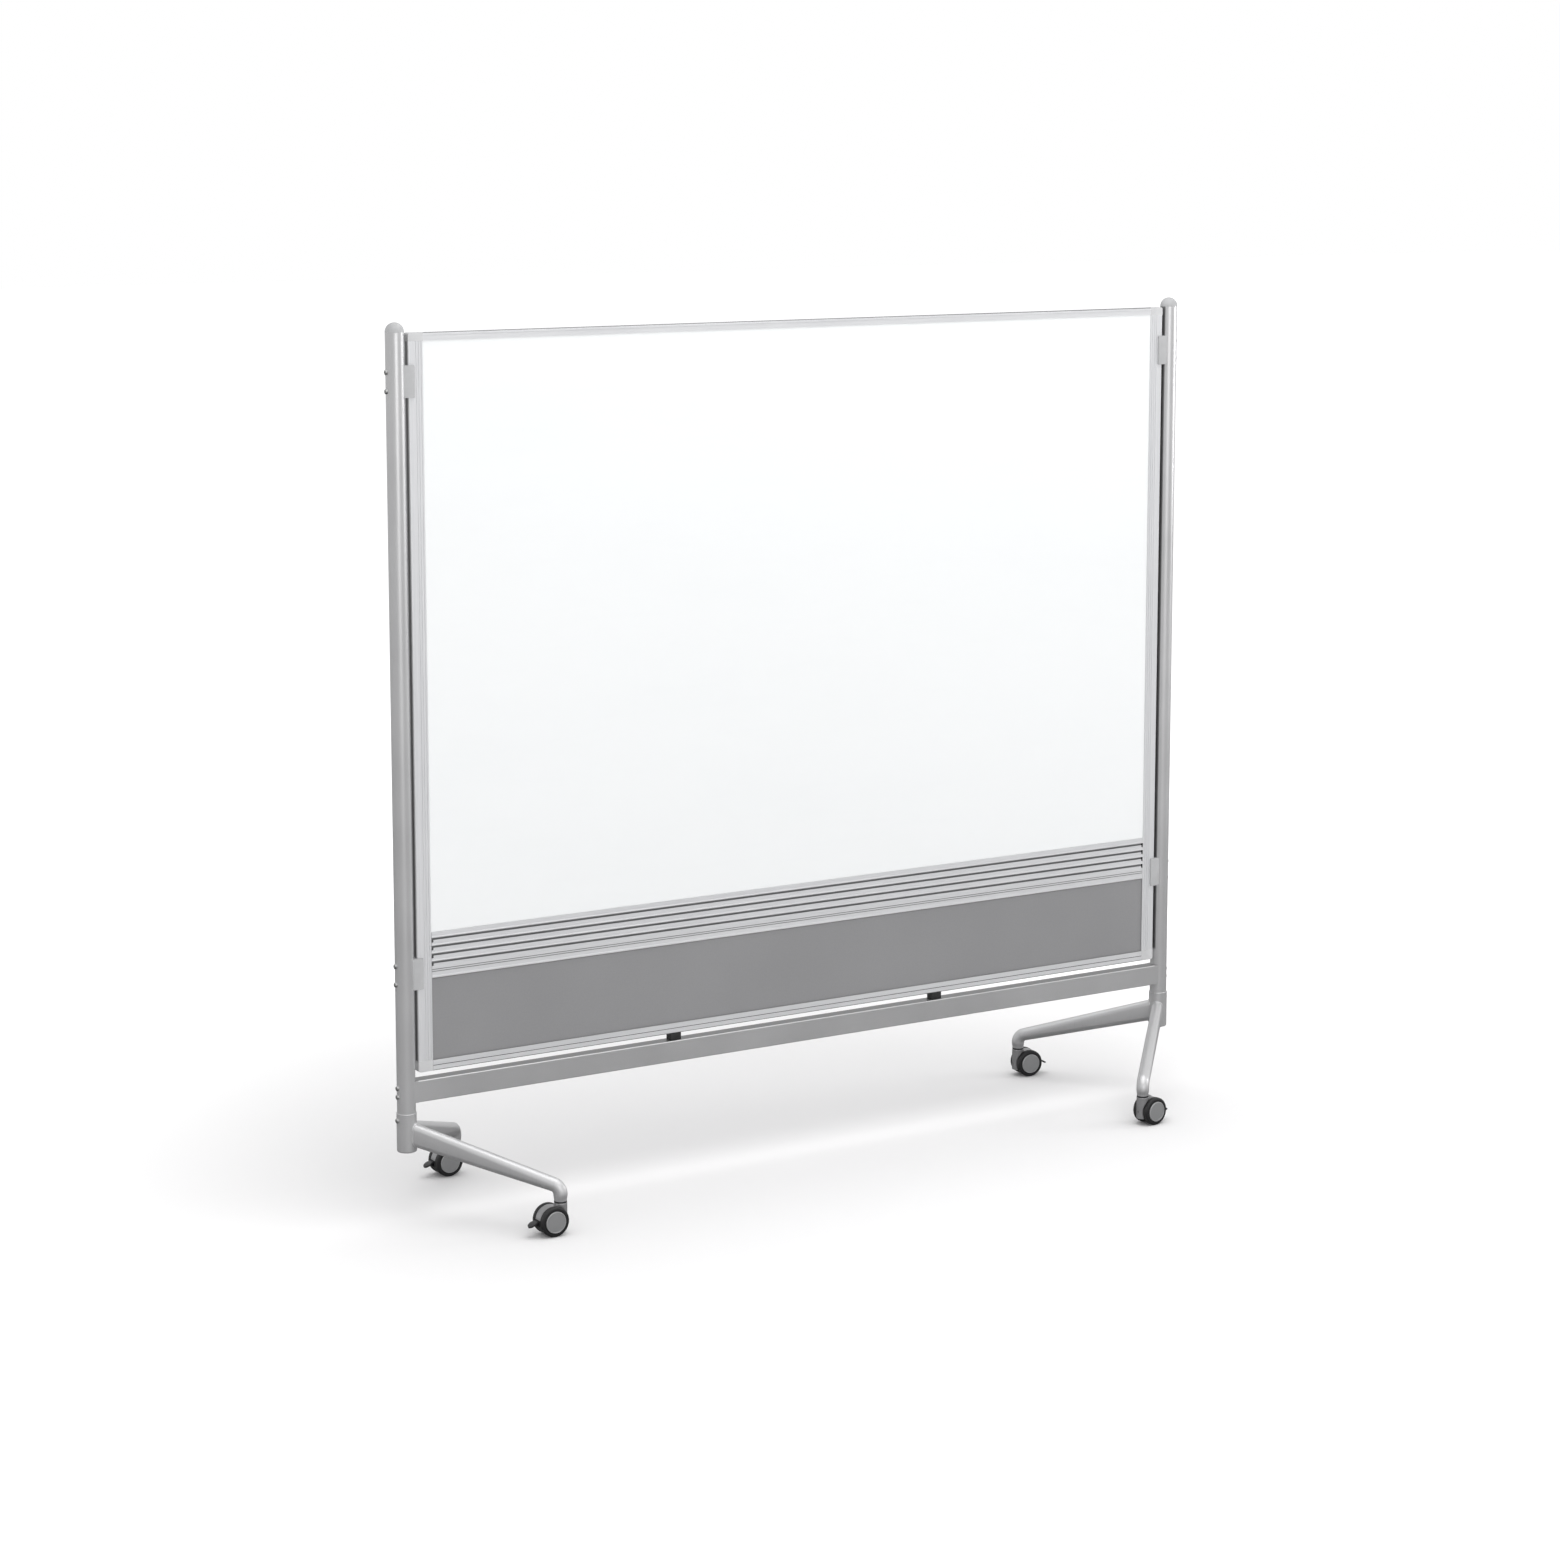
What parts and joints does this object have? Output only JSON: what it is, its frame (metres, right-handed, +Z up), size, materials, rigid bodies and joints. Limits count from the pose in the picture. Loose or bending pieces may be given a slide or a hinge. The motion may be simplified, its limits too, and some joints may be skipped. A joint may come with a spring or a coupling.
{
  "type": "rolling whiteboard",
  "caption": "Double-sided whiteboard panel with slotted accessory rails and grey lower panels, between two round posts on splayed legs with braked twin-wheel casters.",
  "frame": {"origin": "on the floor, midway between the two posts", "axes": "+X along the board to the right as seen from its front, the front faces -Y, +Z up"},
  "size_m": [1.9674, 0.5296, 1.829],
  "materials": {
    "posts": "satin silver powder coat",
    "feet": "satin silver powder coat",
    "end_pieces": "moulded light grey",
    "frame_profile": "satin anodised",
    "writing_surface": "gloss white enamel on sheet steel",
    "lower_panel": "fine textured grey laminate",
    "core": "honeycomb board",
    "fasteners": "zinc plated",
    "caster_shell": "silver painted nylon",
    "dark_nylon": "moulded black nylon",
    "wheels": "black tread with silver hub caps",
    "bumpers": "black rubber"
  },
  "bodies": {
    "frame": {"left_post": "posts", "left_post_cap": "end_pieces", "left_foot_collar": "feet", "left_front_leg": "feet", "left_rear_leg": "feet", "left_stile": "frame_profile", "upper_left_bracket": "end_pieces", "lower_left_bracket": "end_pieces", "right_post": "posts", "right_post_cap": "end_pieces", "right_foot_collar": "feet", "right_front_leg": "feet", "right_rear_leg": "feet", "right_stile": "frame_profile", "upper_right_bracket": "end_pieces", "lower_right_bracket": "end_pieces", "collar_screws": "fasteners", "crossbar_bolts": "fasteners", "bracket_screws": "fasteners", "caster_stems": "fasteners", "crossbar": "posts", "crossbar_end_blocks": "end_pieces", "top_corner_caps": "end_pieces", "bottom_corner_caps": "end_pieces", "panel_bumpers": "bumpers", "top_rail": "frame_profile", "bottom_rail": "frame_profile", "front_accessory_rail": "frame_profile", "rear_accessory_rail": "frame_profile", "panel_core": "core", "front_whiteboard": "writing_surface", "rear_whiteboard": "writing_surface", "front_lower_panel": "lower_panel", "rear_lower_panel": "lower_panel", "leg_end_bushes": "dark_nylon"},
    "front_left_caster": {"front_left_caster_housing": "caster_shell", "front_left_caster_core": "dark_nylon", "front_left_caster_axle": "fasteners"},
    "front_left_outer_wheel": {"front_left_caster_outer_wheel": "wheels"},
    "front_left_inner_wheel": {"front_left_caster_inner_wheel": "wheels"},
    "front_left_brake_lever": {"front_left_caster_brake_lever": "dark_nylon"},
    "rear_left_caster": {"rear_left_caster_housing": "caster_shell", "rear_left_caster_core": "dark_nylon", "rear_left_caster_axle": "fasteners"},
    "rear_left_outer_wheel": {"rear_left_caster_outer_wheel": "wheels"},
    "rear_left_inner_wheel": {"rear_left_caster_inner_wheel": "wheels"},
    "rear_left_brake_lever": {"rear_left_caster_brake_lever": "dark_nylon"},
    "front_right_caster": {"front_right_caster_housing": "caster_shell", "front_right_caster_core": "dark_nylon", "front_right_caster_axle": "fasteners"},
    "front_right_outer_wheel": {"front_right_caster_outer_wheel": "wheels"},
    "front_right_inner_wheel": {"front_right_caster_inner_wheel": "wheels"},
    "front_right_brake_lever": {"front_right_caster_brake_lever": "dark_nylon"},
    "rear_right_caster": {"rear_right_caster_housing": "caster_shell", "rear_right_caster_core": "dark_nylon", "rear_right_caster_axle": "fasteners"},
    "rear_right_outer_wheel": {"rear_right_caster_outer_wheel": "wheels"},
    "rear_right_inner_wheel": {"rear_right_caster_inner_wheel": "wheels"},
    "rear_right_brake_lever": {"rear_right_caster_brake_lever": "dark_nylon"}
  },
  "joints": [
    {"name": "front_left_swivel", "type": "hinge", "parent": "frame", "child": "front_left_caster", "pos_m": [-0.735, -0.24, 0.0643], "axis": [0, 0, 1], "continuous": true},
    {"name": "front_left_outer_spin", "type": "hinge", "parent": "front_left_caster", "child": "front_left_outer_wheel", "pos_m": [-0.7573, -0.24, 0.031], "axis": [0, -1, 0], "continuous": true},
    {"name": "front_left_inner_spin", "type": "hinge", "parent": "front_left_caster", "child": "front_left_inner_wheel", "pos_m": [-0.7573, -0.24, 0.031], "axis": [0, -1, 0], "continuous": true},
    {"name": "front_left_brake", "type": "hinge", "parent": "front_left_caster", "child": "front_left_brake_lever", "pos_m": [-0.7788, -0.24, 0.0295], "axis": [0, -1, 0], "range_deg": [0, 16]},
    {"name": "rear_left_swivel", "type": "hinge", "parent": "frame", "child": "rear_left_caster", "pos_m": [-0.735, 0.24, 0.0643], "axis": [0, 0, 1], "continuous": true},
    {"name": "rear_left_outer_spin", "type": "hinge", "parent": "rear_left_caster", "child": "rear_left_outer_wheel", "pos_m": [-0.7573, 0.24, 0.031], "axis": [0, -1, 0], "continuous": true},
    {"name": "rear_left_inner_spin", "type": "hinge", "parent": "rear_left_caster", "child": "rear_left_inner_wheel", "pos_m": [-0.7573, 0.24, 0.031], "axis": [0, -1, 0], "continuous": true},
    {"name": "rear_left_brake", "type": "hinge", "parent": "rear_left_caster", "child": "rear_left_brake_lever", "pos_m": [-0.7788, 0.24, 0.0295], "axis": [0, -1, 0], "range_deg": [0, 16]},
    {"name": "front_right_swivel", "type": "hinge", "parent": "frame", "child": "front_right_caster", "pos_m": [0.735, -0.24, 0.0643], "axis": [0, 0, 1], "continuous": true},
    {"name": "front_right_outer_spin", "type": "hinge", "parent": "front_right_caster", "child": "front_right_outer_wheel", "pos_m": [0.75718, -0.23767, 0.031], "axis": [-0.1045, 0.9945, 0], "continuous": true},
    {"name": "front_right_inner_spin", "type": "hinge", "parent": "front_right_caster", "child": "front_right_inner_wheel", "pos_m": [0.75718, -0.23767, 0.031], "axis": [-0.1045, 0.9945, 0], "continuous": true},
    {"name": "front_right_brake", "type": "hinge", "parent": "front_right_caster", "child": "front_right_brake_lever", "pos_m": [0.77856, -0.23542, 0.0295], "axis": [-0.1045, 0.9945, 0], "range_deg": [0, 16]},
    {"name": "rear_right_swivel", "type": "hinge", "parent": "frame", "child": "rear_right_caster", "pos_m": [0.735, 0.24, 0.0643], "axis": [0, 0, 1], "continuous": true},
    {"name": "rear_right_outer_spin", "type": "hinge", "parent": "rear_right_caster", "child": "rear_right_outer_wheel", "pos_m": [0.75711, 0.23709, 0.031], "axis": [0.1305, 0.9914, 0], "continuous": true},
    {"name": "rear_right_inner_spin", "type": "hinge", "parent": "rear_right_caster", "child": "rear_right_inner_wheel", "pos_m": [0.75711, 0.23709, 0.031], "axis": [0.1305, 0.9914, 0], "continuous": true},
    {"name": "rear_right_brake", "type": "hinge", "parent": "rear_right_caster", "child": "rear_right_brake_lever", "pos_m": [0.77843, 0.23428, 0.0295], "axis": [0.1305, 0.9914, 0], "range_deg": [0, 16]}
  ]
}
